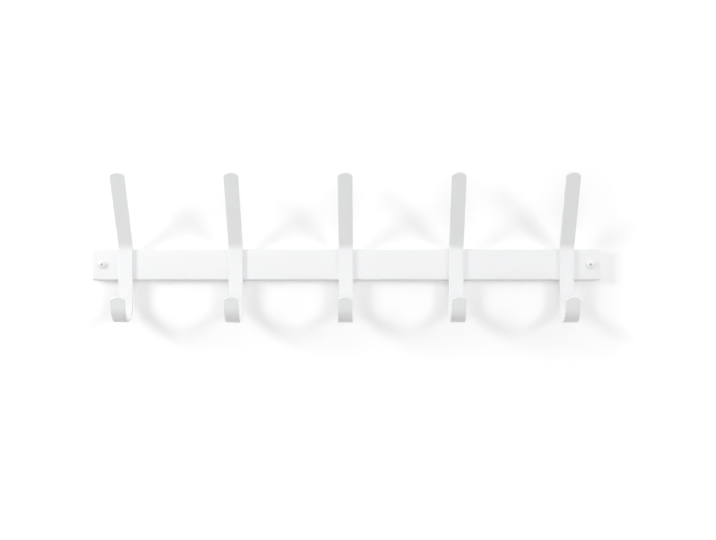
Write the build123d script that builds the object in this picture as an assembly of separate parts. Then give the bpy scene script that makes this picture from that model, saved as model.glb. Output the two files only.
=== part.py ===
from build123d import *
import math
import os

# Wall coat rack: a folded sheet rail carrying a row of bent strip hooks, held by a screw at each end.
# Millimetres. X runs along the rail, +Y into the wall whose face is Y = 0, and +Z is up.
# The origin lies on the wall's face, midway between the two screws.

# Rail, a tray folded from sheet with its open side to the wall
RAIL_HEIGHT = 36.0
RAIL_DEPTH = 10.0
RAIL_SHEET = 1.2
RAIL_FOLD_INSIDE = 0.3

# Row of hooks, with a screw past the hook at each end
HOOK_COUNT = 5
HOOK_PITCH = 130.0
SCREW_PAST_HOOK = 28.0
RAIL_PAST_SCREW = 12.0

# Hook strip: its section and rounded ends, the arm that leans out above the rail, and the crook below
# that ends in a straight lip
STRIP_WIDTH = 17.0
STRIP_THICKNESS = 3.0
STRIP_EDGE_CHAMFER = 0.45
STRIP_END_RISE = 4.0
STRIP_CORNER_RADIUS = 1.2
ARM_TILT = 34.0
ARM_LENGTH = 100.5
ARM_BEND_INSIDE = 15.0
ARM_BEND_ABOVE_RAIL = 3.6
CROOK_INSIDE = 23.0
CROOK_SWEEP = 159.0
CROOK_BELOW_RAIL = 23.0
LIP_LENGTH = 14.0

# Wall screws, with a cross recess in a domed head
SCREW_THREAD_DIAMETER = 4.5
SCREW_NECK_DIAMETER = 3.4
SCREW_HOLE_CLEARANCE = 0.5
SCREW_HEAD_OVERHANG = 2.35
SCREW_HEAD_RIM = 1.4
SCREW_HEAD_DOME = 1.6
SCREW_THREAD_BEFORE_WALL = 2.0
SCREW_LENGTH_IN_WALL = 40.0
SCREW_POINT_LENGTH = 6.0
RECESS_SPAN = 4.4
RECESS_WIDTH = 1.2
RECESS_DEPTH = 2.2

# Places that follow from the sizes above
rail_front = -RAIL_DEPTH
row_half = (HOOK_COUNT - 1) * HOOK_PITCH / 2
screw_reach = row_half + SCREW_PAST_HOOK
rail_length = 2 * (screw_reach + RAIL_PAST_SCREW)
hook_places = [number * HOOK_PITCH - row_half for number in range(HOOK_COUNT)]
screw_places = [-screw_reach, screw_reach]


def make_rail():
    """Tray with four folded sides, rounded along its folds and pierced for the screws."""
    block = Pos(0, rail_front / 2, 0) * Box(rail_length, RAIL_DEPTH, RAIL_HEIGHT)
    rim = block.faces().sort_by(Axis.Y)[-1].edges()
    block = fillet([edge for edge in block.edges() if edge not in rim], RAIL_FOLD_INSIDE + RAIL_SHEET)
    open_side = block.faces().sort_by(Axis.Y)[-1]
    tray = offset(block, amount=-RAIL_SHEET, openings=open_side, kind=Kind.INTERSECTION)
    drill = Rot(90, 0, 0) * Cylinder((SCREW_THREAD_DIAMETER + SCREW_HOLE_CLEARANCE) / 2, RAIL_DEPTH)
    for place in screw_places:
        tray = tray - Pos(place, rail_front, 0) * drill
    return tray


def strip_end_waste(tip, way, normal):
    """Block past the arc that rounds a strip's end, on the strip's plane at that end."""
    end_radius = ((STRIP_WIDTH / 2) ** 2 + STRIP_END_RISE**2) / (2 * STRIP_END_RISE)
    flat = Plane(origin=tip, x_dir=(1, 0, 0), z_dir=normal)
    inward = -math.copysign(end_radius, flat.y_dir.dot(way))
    depth = 2 * end_radius
    block = Box(2 * STRIP_WIDTH, 2 * end_radius, depth)
    return flat * (block - Pos(0, inward, 0) * Cylinder(end_radius, depth))


def is_rim(face):
    """True for the faces round the strip's outline, false for its two broad faces."""
    if face.geom_type == GeomType.PLANE:
        return abs(face.normal_at().X) > 0.5
    return abs(face.axis_of_rotation.direction.X) < 0.5


def shared_edges(faces, others):
    other_edges = [edge for face in others for edge in face.edges()]
    return [edge for face in faces for edge in face.edges() if edge in other_edges]


def make_hook():
    """Flat strip swept along its bent centre line, both ends cut to an arc and every edge eased."""
    plate_y = rail_front - STRIP_THICKNESS / 2
    bend_z = RAIL_HEIGHT / 2 + ARM_BEND_ABOVE_RAIL
    crook_z = -RAIL_HEIGHT / 2 - CROOK_BELOW_RAIL
    crook_radius = CROOK_INSIDE + STRIP_THICKNESS / 2
    crook_y = plate_y - crook_radius
    tilt = math.radians(ARM_TILT)
    turn = math.radians(CROOK_SWEEP)

    def on_crook(angle):
        return Vector(0, crook_y + crook_radius * math.cos(angle), crook_z - crook_radius * math.sin(angle))

    arm_way = Vector(0, -math.sin(tilt), math.cos(tilt))
    arm_normal = Vector(0, math.cos(tilt), math.sin(tilt))
    arm_tip = Vector(0, plate_y, bend_z) + arm_way * ARM_LENGTH
    lip_way = Vector(0, -math.sin(turn), -math.cos(turn))
    lip_normal = Vector(0, -math.cos(turn), math.sin(turn))
    lip_foot = on_crook(turn)
    lip_tip = lip_foot + lip_way * LIP_LENGTH

    bend_radius = ARM_BEND_INSIDE + STRIP_THICKNESS / 2
    upper = FilletPolyline(arm_tip, (0, plate_y, bend_z), on_crook(0), radius=bend_radius)
    crook = ThreePointArc(on_crook(0), on_crook(turn / 2), lip_foot)
    lip = Line(lip_foot, lip_tip)
    centre_line = Wire([*upper.edges(), *crook.edges(), *lip.edges()])
    start = Plane(origin=arm_tip, x_dir=(1, 0, 0), z_dir=-arm_way)
    strip = sweep(start * Rectangle(STRIP_WIDTH, STRIP_THICKNESS), path=centre_line)
    strip = strip - strip_end_waste(arm_tip, arm_way, arm_normal)
    strip = strip - strip_end_waste(lip_tip, lip_way, lip_normal)

    sides = [face for face in strip.faces() if is_rim(face) and face.geom_type == GeomType.PLANE]
    ends = [face for face in strip.faces() if is_rim(face) and face.geom_type != GeomType.PLANE]
    strip = fillet(shared_edges(ends, sides), STRIP_CORNER_RADIUS)
    outline = [face for face in strip.faces() if is_rim(face)]
    broad = [face for face in strip.faces() if not is_rim(face)]
    return chamfer(shared_edges(outline, broad), STRIP_EDGE_CHAMFER)


def make_screw():
    """Screw along Y with its head bearing on the rail's front, its dome an arc about the screw's axis."""
    thread_radius = SCREW_THREAD_DIAMETER / 2
    neck_radius = SCREW_NECK_DIAMETER / 2
    neck_length = RAIL_DEPTH - SCREW_THREAD_BEFORE_WALL
    head_radius = thread_radius + SCREW_HEAD_OVERHANG
    head_height = SCREW_HEAD_RIM + SCREW_HEAD_DOME
    length = RAIL_DEPTH + SCREW_LENGTH_IN_WALL
    dome_radius = (head_radius**2 + SCREW_HEAD_DOME**2) / (2 * SCREW_HEAD_DOME)
    half = math.asin(head_radius / dome_radius) / 2
    crown = (0, head_height)
    middle = (dome_radius * math.sin(half), head_height - dome_radius * (1 - math.cos(half)))
    rim = (head_radius, SCREW_HEAD_RIM)
    dome = ThreePointArc(crown, middle, rim)
    rest = Polyline(
        rim,
        (head_radius, 0),
        (neck_radius, 0),
        (neck_radius, -neck_length),
        (thread_radius, -neck_length),
        (thread_radius, SCREW_POINT_LENGTH - length),
        (0, -length),
        crown,
    )
    body = revolve(Plane.XZ * make_face([*dome.edges(), *rest.edges()]), Axis.Z, 360)
    wing = Pos(0, 0, head_height) * Box(RECESS_SPAN, RECESS_WIDTH, 2 * RECESS_DEPTH)
    body = body - wing - Rot(0, 0, 90) * wing
    return Rot(90, 0, 0) * body


os.makedirs("parts", exist_ok=True)
export_step(make_rail(), "parts/rail.step")
hook = make_hook()
for number, place in enumerate(hook_places, start=1):
    export_step(Pos(place, 0, 0) * hook, f"parts/hook_{number}.step")
screw = make_screw()
screws = Compound([Pos(place, rail_front, 0) * screw for place in screw_places])
export_step(screws, "parts/wall_screws.step")
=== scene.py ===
import math

import bmesh
import bpy
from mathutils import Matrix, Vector


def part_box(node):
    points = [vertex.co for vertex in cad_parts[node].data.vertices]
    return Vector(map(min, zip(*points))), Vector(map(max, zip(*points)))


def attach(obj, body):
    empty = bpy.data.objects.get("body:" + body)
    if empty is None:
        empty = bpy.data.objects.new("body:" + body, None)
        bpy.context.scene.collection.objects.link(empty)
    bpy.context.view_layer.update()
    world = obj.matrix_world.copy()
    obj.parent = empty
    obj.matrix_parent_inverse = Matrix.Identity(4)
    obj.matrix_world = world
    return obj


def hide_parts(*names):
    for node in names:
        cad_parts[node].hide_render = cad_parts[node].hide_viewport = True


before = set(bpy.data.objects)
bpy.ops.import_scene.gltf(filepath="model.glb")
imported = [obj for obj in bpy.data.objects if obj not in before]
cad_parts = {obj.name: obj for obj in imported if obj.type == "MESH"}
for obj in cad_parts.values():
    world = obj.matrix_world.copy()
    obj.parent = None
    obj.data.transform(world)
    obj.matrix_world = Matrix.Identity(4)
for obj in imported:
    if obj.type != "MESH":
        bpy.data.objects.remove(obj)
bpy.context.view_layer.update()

bpy.context.scene.view_settings.view_transform = "Standard"


# Rail: a shallow tray of sheet steel, its four sides folded back so that they stand it off the wall.
# Two punched holes take the wall screws, and pairs of spot welds, pressed from behind, hold each hook.
# Rail and hooks are powder coated white in one go, with the faint orange peel that such a coat cures with.
SHEET = 0.0012
FOLD_RADIUS = 0.0015
FOLD_STEPS = 6
CUT_EDGE_ROUND = 0.00015
CUT_EDGE_STEPS = 2
CUT_EDGE_ANGLE = math.radians(60)
SCREW_PLACES = (-0.288, 0.288)
SCREW_HOLE_RADIUS = 0.0025
SCREW_HOLE_SIDES = 48
HOOK_PLACES = (-0.26, -0.13, 0.0, 0.13, 0.26)
WELD_HEIGHTS = (-0.0085, 0.0085)
WELD_RADIUS = 0.0022
WELD_DEPTH = 0.00025
WELD_FLARE = 0.00035
WELD_SIDES = 40
RAIL_SMOOTH_ANGLE = math.radians(25)
UPRIGHT = (math.radians(90), 0, 0)
TOUCHING = 1e-6
COAT_LIGHT = (0.867, 0.871, 0.879, 1)
COAT_DARK = (0.837, 0.841, 0.849, 1)
COAT_ROUGHNESS = 0.34
COAT_ROUGHNESS_SPREAD = 0.1
CLOUD_SCALE = 14.0
CLOUD_DETAIL = 2.0
CLOUD_SHARE = 0.7
PEEL_SCALE = 520.0
PEEL_DETAIL = 2.0
PEEL_SHARE = 0.8
GRAIN_SCALE = 2600.0
GRAIN_DETAIL = 1.0
BUMP_STRENGTH = 0.12
BUMP_HEIGHT = 0.0002


def new_start():
    """Leaves edit mode, with nothing selected."""
    if bpy.context.object and bpy.context.object.mode != "OBJECT":
        bpy.ops.object.mode_set(mode="OBJECT")
    bpy.ops.object.select_all(action="DESELECT")


def pick(piece):
    """Selects this piece alone and makes it the active one."""
    new_start()
    piece.select_set(True)
    bpy.context.view_layer.objects.active = piece


def select_where(piece, test):
    """In edit mode, selects the vertices whose places pass the test, and what lies between them."""
    mesh = bmesh.from_edit_mesh(piece.data)
    for vertex in mesh.verts:
        vertex.select = test(vertex.co)
    mesh.select_flush_mode()
    bmesh.update_edit_mesh(piece.data)


def settle(piece, name):
    """Names a piece and moves its place, turn and scale into its mesh."""
    piece.name = name
    bpy.ops.object.transform_apply(location=True, rotation=True, scale=True)
    return piece


def finish_with(piece, kind, **settings):
    """Adds a modifier of this type and applies it."""
    modifier = piece.modifiers.new(kind.lower(), kind)
    for name, value in settings.items():
        setattr(modifier, name, value)
    bpy.context.view_layer.objects.active = piece
    bpy.ops.object.modifier_apply(modifier=modifier.name)


def cut_away(piece, cutter):
    """Takes the cutter's shape out of a piece and removes the cutter."""
    finish_with(piece, "BOOLEAN", operation="DIFFERENCE", object=cutter, solver="EXACT")
    bpy.data.objects.remove(cutter)


rail_low, rail_high = (Vector(corner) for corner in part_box("rail"))
rail_front = rail_low.y
new_start()
bpy.ops.mesh.primitive_cube_add(size=1, location=(rail_low + rail_high) / 2)
rail = bpy.context.object
rail.scale = rail_high - rail_low
settle(rail, "folded_rail")
bpy.ops.object.mode_set(mode="EDIT")
select_where(rail, lambda place: place.y > rail_high.y - TOUCHING)
bpy.ops.mesh.delete(type="ONLY_FACE")
bpy.ops.mesh.select_mode(type="EDGE")
tray = bmesh.from_edit_mesh(rail.data)
for edge in tray.edges:
    edge.select = not edge.is_boundary
bmesh.update_edit_mesh(rail.data)
bpy.ops.mesh.bevel(offset=FOLD_RADIUS, segments=FOLD_STEPS, affect="EDGES", clamp_overlap=False)
bpy.ops.mesh.select_mode(type="VERT")
bpy.ops.object.mode_set(mode="OBJECT")
finish_with(rail, "SOLIDIFY", thickness=SHEET, offset=-1, use_even_offset=True)
finish_with(
    rail, "BEVEL", width=CUT_EDGE_ROUND, segments=CUT_EDGE_STEPS,
    limit_method="ANGLE", angle_limit=CUT_EDGE_ANGLE,
)

for place in SCREW_PLACES:
    new_start()
    bpy.ops.mesh.primitive_cylinder_add(
        vertices=SCREW_HOLE_SIDES, radius=SCREW_HOLE_RADIUS, depth=4 * SHEET,
        location=(place, rail_front, 0), rotation=UPRIGHT,
    )
    cut_away(rail, settle(bpy.context.object, "hole_cutter"))
for place in HOOK_PLACES:
    for height in WELD_HEIGHTS:
        new_start()
        bpy.ops.mesh.primitive_cone_add(
            vertices=WELD_SIDES, depth=2 * WELD_DEPTH,
            radius1=WELD_RADIUS + 2 * WELD_FLARE, radius2=WELD_RADIUS,
            location=(place, rail_front + SHEET, height), rotation=UPRIGHT,
        )
        cut_away(rail, settle(bpy.context.object, "weld_cutter"))
pick(rail)
bpy.ops.object.shade_smooth_by_angle(angle=RAIL_SMOOTH_ANGLE)


class Shade:
    """An output of a material's nodes. Arithmetic on it adds the Math nodes that work it out."""

    def __init__(self, tree, output=None):
        self.tree = tree
        self.output = output

    def node(self, kind, settings=None, inputs=None, output=0):
        """Adds a node of this type, with its settings first and then its inputs' values or links."""
        made = self.tree.nodes.new("ShaderNode" + kind)
        for name, value in (settings or {}).items():
            setattr(made, name, value)
        for name, value in (inputs or {}).items():
            if isinstance(value, Shade):
                self.tree.links.new(value.output, made.inputs[name])
            else:
                made.inputs[name].default_value = value
        return Shade(self.tree, made.outputs[output]) if made.outputs else None

    def beside(self, name):
        """Another output of the same node."""
        return Shade(self.tree, self.output.node.outputs[name])

    def between(self, low_colour, high_colour):
        """A colour this far from one to the other. The Mix node's colour sockets go by number."""
        colours = {0: self, 6: low_colour, 7: high_colour}
        return self.node("Mix", {"data_type": "RGBA"}, colours, output=2)

    def maths(self, operation, first, second):
        return self.node("Math", {"operation": operation}, {0: first, 1: second})

    def at_least(self, other):
        return self.maths("MAXIMUM", self, other)

    def at_most(self, other):
        return self.maths("MINIMUM", self, other)

    def __add__(self, other):
        return self.maths("ADD", self, other)

    def __radd__(self, other):
        return self.maths("ADD", other, self)

    def __sub__(self, other):
        return self.maths("SUBTRACT", self, other)

    def __rsub__(self, other):
        return self.maths("SUBTRACT", other, self)

    def __mul__(self, other):
        return self.maths("MULTIPLY", self, other)

    def __rmul__(self, other):
        return self.maths("MULTIPLY", other, self)


def blank_material(name):
    """A material with no nodes, and a Shade to add them with."""
    material = bpy.data.materials.new(name)
    material.use_nodes = True
    material.node_tree.nodes.clear()
    return material, Shade(material.node_tree)


def powder_coat(name, light_tone, dark_tone):
    """Satin coat: faint clouds of tone, an orange peel about 2 mm across, and a fine grain over it."""
    material, coat = blank_material(name)
    place = coat.node("TexCoord", output="Object")
    cloud = coat.node("TexNoise", inputs={"Vector": place, "Scale": CLOUD_SCALE, "Detail": CLOUD_DETAIL})
    peel = coat.node("TexNoise", inputs={"Vector": place, "Scale": PEEL_SCALE, "Detail": PEEL_DETAIL})
    grain = coat.node("TexNoise", inputs={"Vector": place, "Scale": GRAIN_SCALE, "Detail": GRAIN_DETAIL})
    tone = CLOUD_SHARE * cloud + (1 - CLOUD_SHARE) * grain
    bump = coat.node("Bump", inputs={
        "Height": PEEL_SHARE * peel + (1 - PEEL_SHARE) * grain,
        "Strength": BUMP_STRENGTH,
        "Distance": BUMP_HEIGHT,
    })
    surface = coat.node("BsdfPrincipled", inputs={
        "Base Color": tone.between(dark_tone, light_tone),
        "Roughness": COAT_ROUGHNESS + COAT_ROUGHNESS_SPREAD * peel,
        "Normal": bump,
    })
    coat.node("OutputMaterial", inputs={"Surface": surface})
    return material


white_coat = powder_coat("white_powder_coat", COAT_LIGHT, COAT_DARK)
rail.data.materials.append(white_coat)
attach(rail, "root")
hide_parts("rail")


# Hooks: one length of flat steel strip each, cut with rounded ends, bent out at the top into an arm
# and rolled forwards at the bottom into a crook whose lip leans out. The strip's edges are eased,
# and the plate between the two bends lies flat on the rail's front, where it is welded.
STRIP_WIDTH = 0.017
STRIP_THICKNESS = 0.003
STRIP_COLUMNS = 14
END_RISE = 0.004
END_RADIUS = ((STRIP_WIDTH / 2) ** 2 + END_RISE**2) / (2 * END_RISE)
END_MARGIN = 0.002
CORNER_CUT = 0.00045
CORNER_STEPS = 3
EDGE_ROUND = 0.00055
EDGE_STEPS = 3
EDGE_ANGLE = math.radians(50)
ARM_TILT = math.radians(34)
ARM_LENGTH = 0.10044
ARM_BEND_RADIUS = 0.0165
ARM_BEND_STEPS = 12
ARM_BEND_ABOVE_RAIL = 0.0036
CROOK_RADIUS = 0.0245
CROOK_SWEEP = math.radians(159)
CROOK_STEPS = 56
CROOK_BELOW_RAIL = 0.023
LIP_LENGTH = 0.014
HOOK_SMOOTH_ANGLE = math.radians(40)

plate_y = rail_front - STRIP_THICKNESS / 2
bend_run = ARM_BEND_RADIUS * math.tan(ARM_TILT / 2)
plate_top = rail_high.z + ARM_BEND_ABOVE_RAIL - bend_run
plate_foot = rail_low.z - CROOK_BELOW_RAIL
arm_way = Vector((0, -math.sin(ARM_TILT), math.cos(ARM_TILT)))
lip_way = Vector((0, -math.sin(CROOK_SWEEP), -math.cos(CROOK_SWEEP)))
new_start()
bpy.ops.mesh.primitive_grid_add(
    x_subdivisions=STRIP_COLUMNS, y_subdivisions=1, size=1,
    location=(0, plate_y, (plate_top + plate_foot) / 2), rotation=UPRIGHT,
)
strip = bpy.context.object
strip.scale = (STRIP_WIDTH, plate_top - plate_foot, 1)
settle(strip, "strip_hook_3")


def round_off_end(piece, way, run):
    """Runs the selected row on to the strip's end, and draws that end out to an arc with eased corners."""
    tip_run = END_RISE + END_MARGIN
    bpy.ops.mesh.extrude_region_move(TRANSFORM_OT_translate={"value": way * (run - tip_run)})
    bpy.ops.mesh.extrude_region_move(TRANSFORM_OT_translate={"value": way * tip_run})
    sheet = bmesh.from_edit_mesh(piece.data)
    for vertex in sheet.verts:
        if vertex.select:
            vertex.co -= way * (END_RADIUS - math.sqrt(END_RADIUS**2 - vertex.co.x**2))
            vertex.select = abs(vertex.co.x) > STRIP_WIDTH / 2 - TOUCHING
    sheet.select_flush_mode()
    bmesh.update_edit_mesh(piece.data)
    bpy.ops.mesh.bevel(offset=CORNER_CUT, segments=CORNER_STEPS, affect="VERTICES")


bpy.ops.object.mode_set(mode="EDIT")
select_where(strip, lambda place: place.z > plate_top - TOUCHING)
bpy.ops.mesh.spin(
    steps=ARM_BEND_STEPS, angle=-ARM_TILT,
    center=(0, plate_y - ARM_BEND_RADIUS, plate_top), axis=(1, 0, 0),
)
round_off_end(strip, arm_way, ARM_LENGTH - bend_run)
select_where(strip, lambda place: abs(place.z - plate_foot) < TOUCHING)
bpy.ops.mesh.spin(
    steps=CROOK_STEPS, angle=CROOK_SWEEP,
    center=(0, plate_y - CROOK_RADIUS, plate_foot), axis=(1, 0, 0),
)
round_off_end(strip, lip_way, LIP_LENGTH)
bpy.ops.mesh.select_all(action="SELECT")
bpy.ops.mesh.remove_doubles(threshold=TOUCHING)
bpy.ops.mesh.normals_make_consistent(inside=False)
bpy.ops.object.mode_set(mode="OBJECT")
finish_with(strip, "SOLIDIFY", thickness=STRIP_THICKNESS, offset=0, use_even_offset=True)
finish_with(
    strip, "BEVEL", width=EDGE_ROUND, segments=EDGE_STEPS,
    limit_method="ANGLE", angle_limit=EDGE_ANGLE, use_clamp_overlap=False,
)
bpy.ops.object.mode_set(mode="EDIT")
bpy.ops.mesh.select_all(action="SELECT")
bpy.ops.mesh.normals_make_consistent(inside=False)
bpy.ops.object.mode_set(mode="OBJECT")
bpy.ops.object.shade_smooth_by_angle(angle=HOOK_SMOOTH_ANGLE)
finish_with(strip, "WEIGHTED_NORMAL", keep_sharp=True)
strip.data.materials.append(white_coat)


def copy_along(piece, place, name):
    """A copy of a piece with a mesh of its own, moved along the rail to this place."""
    pick(piece)
    bpy.ops.object.duplicate()
    copy = bpy.context.object
    copy.location.x = place
    return settle(copy, name)


for number, place in enumerate(HOOK_PLACES, start=1):
    hook = strip
    if place != 0:
        hook = copy_along(strip, place, f"strip_hook_{number}")
    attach(hook, "root")
    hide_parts(f"hook_{number}")


# Wall screws: a pan-head screw at each end of the rail, its head coated white to match, with a cross
# recess in darker bare steel, partly wear from the driver and partly painted shade inside the recess.
# Behind the rail runs a plain neck, then a zinc-plated wood thread that fades in, and a point.

# Radius of each ring of the neck and head, and its height over the rail's front
HEAD_RINGS = (
    (0.0017, 0.0), (0.00445, 0.0), (0.0046, 0.00015), (0.0046, 0.0010), (0.0045, 0.00145), (0.0042, 0.00195),
    (0.0037, 0.0024), (0.0030, 0.00272), (0.0022, 0.0029), (0.0012, 0.00298), (0.0004, 0.0030),
)
HEAD_SEGMENTS = 64
NECK_END = -0.0003
THREAD_START = -0.002
THREAD_PITCH = 0.00175
THREAD_TURNS = 25
THREAD_STEPS = 32
THREAD_ROOT = 0.00155
THREAD_CREST = 0.00222
THREAD_FADE = 0.0035
# Share of the pitch along the screw, and the radius there
THREAD_PROFILE = ((0.5, THREAD_ROOT), (0.74, THREAD_CREST), (0.79, THREAD_CREST), (1.0, THREAD_ROOT))
POINT_START = 0.034
POINT_TIP = 0.04
POINT_BLUNT = 0.05
POINT_CUT_TOUCHING = 1e-7
RECESS_SPAN = 0.0044
RECESS_WIDTH = 0.0012
RECESS_DEPTH = 0.0022
RECESS_TAPER = (0.5, 1, 0.8)
RECESS_TURNS = (0, math.radians(90))
SCREW_SMOOTH_ANGLE = math.radians(35)
HEAD_LIGHT = (0.872, 0.875, 0.88, 1)
HEAD_DARK = (0.842, 0.845, 0.85, 1)
COAT_ENDS_PAST_FRONT = 1e-5
ZINC_LIGHT = (0.66, 0.67, 0.68, 1)
ZINC_DARK = (0.5, 0.51, 0.52, 1)
ZINC_ROUGHNESS = 0.38
RECESS_STEEL_AND_SHADE_LIGHT = (0.62, 0.62, 0.63, 1)
RECESS_STEEL_AND_SHADE_DARK = (0.5, 0.5, 0.51, 1)
STEEL_ROUGHNESS = 0.5
STEEL_STARTS_IN_RECESS = 2e-4
PATCH_SCALE = 900.0
PATCH_DETAIL = 3.0
METAL_ROUGHNESS_SPREAD = 0.2
COAT_FINISH, ZINC_FINISH, RECESS_STEEL_AND_SHADE_FINISH = range(3)

new_start()
bpy.ops.mesh.primitive_plane_add(size=THREAD_PITCH, location=(0, 0, 0))
thread = settle(bpy.context.object, "thread")
bpy.ops.object.mode_set(mode="EDIT")
bpy.ops.mesh.select_all(action="SELECT")
bpy.ops.mesh.merge(type="CENTER")
bpy.ops.transform.translate(value=(THREAD_ROOT, THREAD_START, 0))
along, out = 0.0, THREAD_ROOT
for next_along, next_out in THREAD_PROFILE:
    step = (next_out - out, (next_along - along) * THREAD_PITCH, 0)
    bpy.ops.mesh.extrude_region_move(TRANSFORM_OT_translate={"value": step})
    along, out = next_along, next_out
bpy.ops.object.mode_set(mode="OBJECT")
finish_with(
    thread, "SCREW", axis="Y", angle=math.tau, screw_offset=THREAD_PITCH, iterations=THREAD_TURNS - 1,
    steps=THREAD_STEPS, render_steps=THREAD_STEPS, use_merge_vertices=True, merge_threshold=TOUCHING,
)
bpy.ops.object.mode_set(mode="EDIT")
helix = bmesh.from_edit_mesh(thread.data)
for vertex in helix.verts:
    reach = math.hypot(vertex.co.x, vertex.co.z)
    ridge = (reach - THREAD_ROOT) * min(1, (vertex.co.y - THREAD_START) / THREAD_FADE)
    point = max(POINT_BLUNT, min(1, (POINT_TIP - vertex.co.y) / (POINT_TIP - POINT_START)))
    shrink = (THREAD_ROOT + ridge) * point / reach
    vertex.co.x *= shrink
    vertex.co.z *= shrink
bmesh.update_edit_mesh(thread.data)
bpy.ops.mesh.select_all(action="SELECT")
bpy.ops.mesh.remove_doubles(threshold=TOUCHING)
bpy.ops.mesh.bisect(
    plane_co=(0, POINT_TIP, 0), plane_no=(0, 1, 0), use_fill=True, clear_outer=True,
    threshold=POINT_CUT_TOUCHING,
)
bpy.ops.mesh.select_all(action="SELECT")
bpy.ops.mesh.fill_holes(sides=0)
bpy.ops.mesh.select_all(action="SELECT")
bpy.ops.mesh.quads_convert_to_tris()
bpy.ops.mesh.normals_make_consistent(inside=False)

head_front = rail_front - HEAD_RINGS[-1][1]
depth, radius = NECK_END, HEAD_RINGS[0][0]
new_start()
bpy.ops.mesh.primitive_circle_add(
    vertices=HEAD_SEGMENTS, radius=radius, fill_type="NGON", location=(0, depth, 0), rotation=UPRIGHT,
)
screw = settle(bpy.context.object, "screw")
bpy.ops.object.mode_set(mode="EDIT")
bpy.ops.mesh.select_all(action="SELECT")
for next_radius, rise in HEAD_RINGS:
    next_depth = rail_front - rise
    bpy.ops.mesh.extrude_region_move(TRANSFORM_OT_translate={"value": (0, next_depth - depth, 0)})
    grow = next_radius / radius
    bpy.ops.transform.resize(value=(grow, 1, grow), center_override=(0, next_depth, 0))
    depth, radius = next_depth, next_radius
bpy.ops.mesh.select_all(action="SELECT")
bpy.ops.mesh.remove_doubles(threshold=TOUCHING)
bpy.ops.mesh.normals_make_consistent(inside=False)
bpy.ops.object.mode_set(mode="OBJECT")
finish_with(screw, "BOOLEAN", operation="UNION", object=thread, solver="EXACT")
bpy.data.objects.remove(thread)

for turn in RECESS_TURNS:
    new_start()
    bpy.ops.mesh.primitive_cube_add(size=1, location=(0, head_front, 0))
    blade = bpy.context.object
    blade.scale = (RECESS_SPAN, 2 * RECESS_DEPTH, RECESS_WIDTH)
    settle(blade, "recess_cutter")
    bpy.ops.object.mode_set(mode="EDIT")
    select_where(blade, lambda place: place.y > head_front)
    bpy.ops.transform.resize(value=RECESS_TAPER, center_override=(0, head_front + RECESS_DEPTH, 0))
    bpy.ops.object.mode_set(mode="OBJECT")
    blade.rotation_euler.y = turn
    cut_away(screw, settle(blade, "recess_cutter"))
pick(screw)
bpy.ops.object.mode_set(mode="EDIT")
bpy.ops.mesh.select_all(action="SELECT")
bpy.ops.mesh.remove_doubles(threshold=TOUCHING)
bpy.ops.mesh.dissolve_degenerate(threshold=TOUCHING)
bpy.ops.object.mode_set(mode="OBJECT")
bpy.ops.object.shade_smooth_by_angle(angle=SCREW_SMOOTH_ANGLE)


def bare_metal(name, light_tone, dark_tone, roughness):
    """Bare or plated steel, its brightness and polish varying in small patches."""
    material, metal = blank_material(name)
    place = metal.node("TexCoord", output="Object")
    patch = metal.node("TexNoise", inputs={"Vector": place, "Scale": PATCH_SCALE, "Detail": PATCH_DETAIL})
    surface = metal.node("BsdfPrincipled", inputs={
        "Base Color": patch.between(dark_tone, light_tone),
        "Metallic": 1.0,
        "Roughness": roughness - METAL_ROUGHNESS_SPREAD / 2 + METAL_ROUGHNESS_SPREAD * patch,
    })
    metal.node("OutputMaterial", inputs={"Surface": surface})
    return material


screw.data.materials.append(powder_coat("white_screw_coat", HEAD_LIGHT, HEAD_DARK))
screw.data.materials.append(bare_metal("zinc_plate", ZINC_LIGHT, ZINC_DARK, ZINC_ROUGHNESS))
# Darker bare steel for the recess: driver wear, and also painted shade where the recess lies in shade.
screw.data.materials.append(bare_metal("worn_steel_and_painted_shade", RECESS_STEEL_AND_SHADE_LIGHT, RECESS_STEEL_AND_SHADE_DARK, STEEL_ROUGHNESS))
for face in screw.data.polygons:
    behind_head = face.center.y > rail_front + COAT_ENDS_PAST_FRONT
    near_axis = math.hypot(face.center.x, face.center.z) < RECESS_SPAN / 2
    # Faces deep in the recess take the darker steel, partly painted shade.
    in_recess = near_axis and face.center.y > head_front + STEEL_STARTS_IN_RECESS
    if behind_head:
        face.material_index = ZINC_FINISH
    elif in_recess:
        face.material_index = RECESS_STEEL_AND_SHADE_FINISH
    else:
        face.material_index = COAT_FINISH

for number, place in enumerate(SCREW_PLACES, start=1):
    fixing = copy_along(screw, place, f"wall_screw_{number}")
    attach(fixing, "root")
    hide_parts("wall_screws")
bpy.data.objects.remove(screw)


# Wall and floor: the plain white wall that the rack hangs on and a pale floor far below it. The wall shows
# from its front alone and is open behind the rail, so that the rack's back is seen and lit from behind.
# Away from the rack the wall glows a little to the camera, up to the photograph's plain white.
STAGE_SIZE = 6.0
STAGE_CELLS = 3
WALL_PLACE = (0, 0.0002, 0)
WALL_COLOUR = (0.9, 0.9, 0.9, 1)
WALL_OPENING_RIM = 0.0006
WALL_GLOW = 0.09
WALL_GLOW_UP_DOWN = 1.66
WALL_GLOW_BELOW = 1.2
WALL_GLOW_BELOW_FROM = 0.095
WALL_GLOW_ENDS = 2.5
WALL_GLOW_ENDS_FROM = 0.315
WALL_GLOW_MOST = 0.3
FLOOR_PLACE = (0, -3, -1.1)
FLOOR_COLOUR = (0.84, 0.84, 0.845, 1)
FLOOR_GLOW = 0.3


def stage_sheet(name, place, turn, material):
    """A large flat sheet, which isn't part of the rack."""
    new_start()
    bpy.ops.mesh.primitive_grid_add(
        x_subdivisions=STAGE_CELLS, y_subdivisions=STAGE_CELLS, size=STAGE_SIZE,
        location=place, rotation=turn,
    )
    sheet = settle(bpy.context.object, name)
    sheet.data.materials.append(material)
    return sheet


def shown_rays(paint):
    """1 for rays that show a surface, to the camera or in a reflection, and 0 for rays that light others."""
    path = paint.node("LightPath", output="Is Camera Ray")
    return path.at_least(path.beside("Is Glossy Ray")).at_least(path.beside("Is Transmission Ray"))


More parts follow.
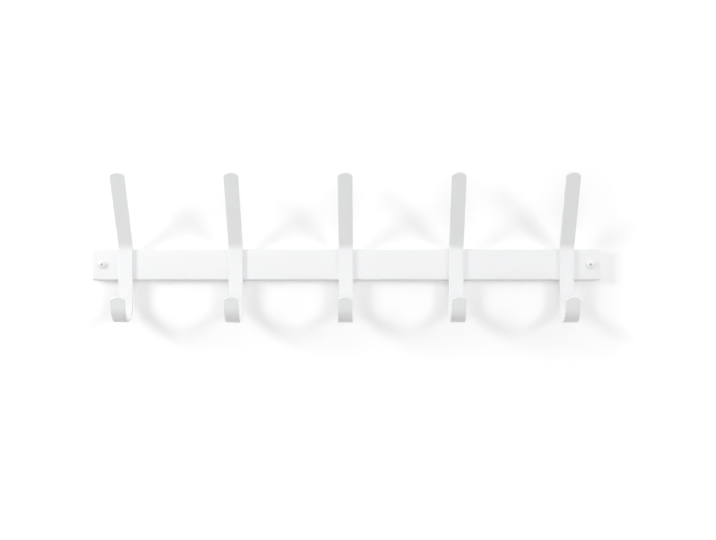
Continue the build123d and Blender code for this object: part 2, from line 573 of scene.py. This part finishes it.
def glowing_paint(paint, colour, glow_level):
    """Matt paint that also glows to the rays that show it."""
    matt = paint.node("BsdfDiffuse", inputs={"Color": colour})
    glow = paint.node("Emission", inputs={"Color": shown_rays(paint) * glow_level})
    return paint.node("AddShader", inputs={0: matt, 1: glow})


wall_paint, paint = blank_material("wall_paint")
place = paint.node("TexCoord", output="Object")
across = paint.node("SeparateXYZ", inputs={0: place}, output="X")
height = across.beside("Z")
past_end = (across.at_least(0 - across) - WALL_GLOW_ENDS_FROM).at_least(0)
past_below = (0 - height - WALL_GLOW_BELOW_FROM).at_least(0)
glow_level = WALL_GLOW + WALL_GLOW_UP_DOWN * height * height
glow_level = glow_level + WALL_GLOW_ENDS * past_end + WALL_GLOW_BELOW * past_below
front = glowing_paint(paint, WALL_COLOUR, glow_level.at_most(WALL_GLOW_MOST))
clear = paint.node("BsdfTransparent")
from_behind = paint.node("NewGeometry", output="Backfacing")
surface = paint.node("MixShader", inputs={0: from_behind, 1: front, 2: clear})
paint.node("OutputMaterial", inputs={"Surface": surface})

wall = stage_sheet("wall", WALL_PLACE, UPRIGHT, wall_paint)
bpy.ops.object.mode_set(mode="EDIT")
opening = bmesh.from_edit_mesh(wall.data)
for vertex in opening.verts:
    if abs(vertex.co.x) < STAGE_SIZE / STAGE_CELLS:
        vertex.co.x = math.copysign(rail_high.x - WALL_OPENING_RIM, vertex.co.x)
    if abs(vertex.co.z) < STAGE_SIZE / STAGE_CELLS:
        vertex.co.z = math.copysign(rail_high.z - WALL_OPENING_RIM, vertex.co.z)
bmesh.update_edit_mesh(wall.data)
select_where(wall, lambda place: abs(place.x) < rail_high.x and abs(place.z) < rail_high.z)
bpy.ops.mesh.delete(type="ONLY_FACE")
bpy.ops.object.mode_set(mode="OBJECT")

floor_paint, paint = blank_material("floor_paint")
surface = glowing_paint(paint, FLOOR_COLOUR, FLOOR_GLOW)
paint.node("OutputMaterial", inputs={"Surface": surface})
floor = stage_sheet("floor", FLOOR_PLACE, (0, 0, 0), floor_paint)
floor.visible_diffuse = False
floor.visible_shadow = False


# Light: a soft box to the left, a farther and weaker one to the right, a broad dim one behind the camera,
# and a room that is bright overhead and dim below, which shows as plain white.
LEFT_PLACE = (-1.80, -0.93, 0.50)
LEFT_SIZE = (0.54, 0.54)
LEFT_WATTS = 17.8
RIGHT_PLACE = (2.3, -1.62, 0.45)
RIGHT_SIZE = (0.6, 0.6)
RIGHT_WATTS = 15.6
FRONT_PLACE = (0.0145, -1.75, 0.0)
FRONT_SIZE = (1.6, 0.5)
FRONT_WATTS = 5.47
ROOM_LEVEL = 0.5
ROOM_OVERHEAD = 0.4
ROOM_BELOW = 0.17
ROOM_TO_RIGHT = 0.05


def soft_box(name, place, size, watts):
    """A lamp with a flat rectangular face, turned to the rack's middle."""
    lamp = bpy.data.lights.new(name, "AREA")
    lamp.shape = "RECTANGLE"
    lamp.size, lamp.size_y = size
    lamp.energy = watts
    box = bpy.data.objects.new(name, lamp)
    box.location = place
    box.rotation_mode = "QUATERNION"
    box.rotation_quaternion = (-Vector(place)).to_track_quat("-Z", "Y")
    bpy.context.scene.collection.objects.link(box)


soft_box("left_box", LEFT_PLACE, LEFT_SIZE, LEFT_WATTS)
soft_box("right_box", RIGHT_PLACE, RIGHT_SIZE, RIGHT_WATTS)
soft_box("front_box", FRONT_PLACE, FRONT_SIZE, FRONT_WATTS)

world = bpy.data.worlds.new("room")
bpy.context.scene.world = world
world.use_nodes = True
world.node_tree.nodes.clear()
room = Shade(world.node_tree)
way = room.node("TexCoord", output="Generated")
rightwards = room.node("SeparateXYZ", inputs={0: way}, output="X")
upwards = rightwards.beside("Z")
overhead = ROOM_OVERHEAD * upwards.at_least(0)
below = ROOM_BELOW * upwards.at_most(0)
level = ROOM_LEVEL + ROOM_TO_RIGHT * rightwards + overhead + below
seen = shown_rays(room)
air = room.node("Background", inputs={"Color": seen + (1 - seen) * level})
room.node("OutputWorld", inputs={"Surface": air})


# Camera: at the height of the rail and a little right of its middle, level, with a long lens.
# It is turned slightly to the left, to the rack's middle.
CAMERA_PLACE = (0.0315, -1.568, -0.0063)
CAMERA_TURN = math.radians(0.632)
CAMERA_LENS = 66.4
CAMERA_SENSOR_WIDTH = 36.0
camera = bpy.data.objects.new("camera", bpy.data.cameras.new("camera"))
camera.data.lens = CAMERA_LENS
camera.data.sensor_width = CAMERA_SENSOR_WIDTH
camera.location = CAMERA_PLACE
camera.rotation_euler = (math.radians(90), 0, CAMERA_TURN)
bpy.context.scene.collection.objects.link(camera)
bpy.context.scene.camera = camera
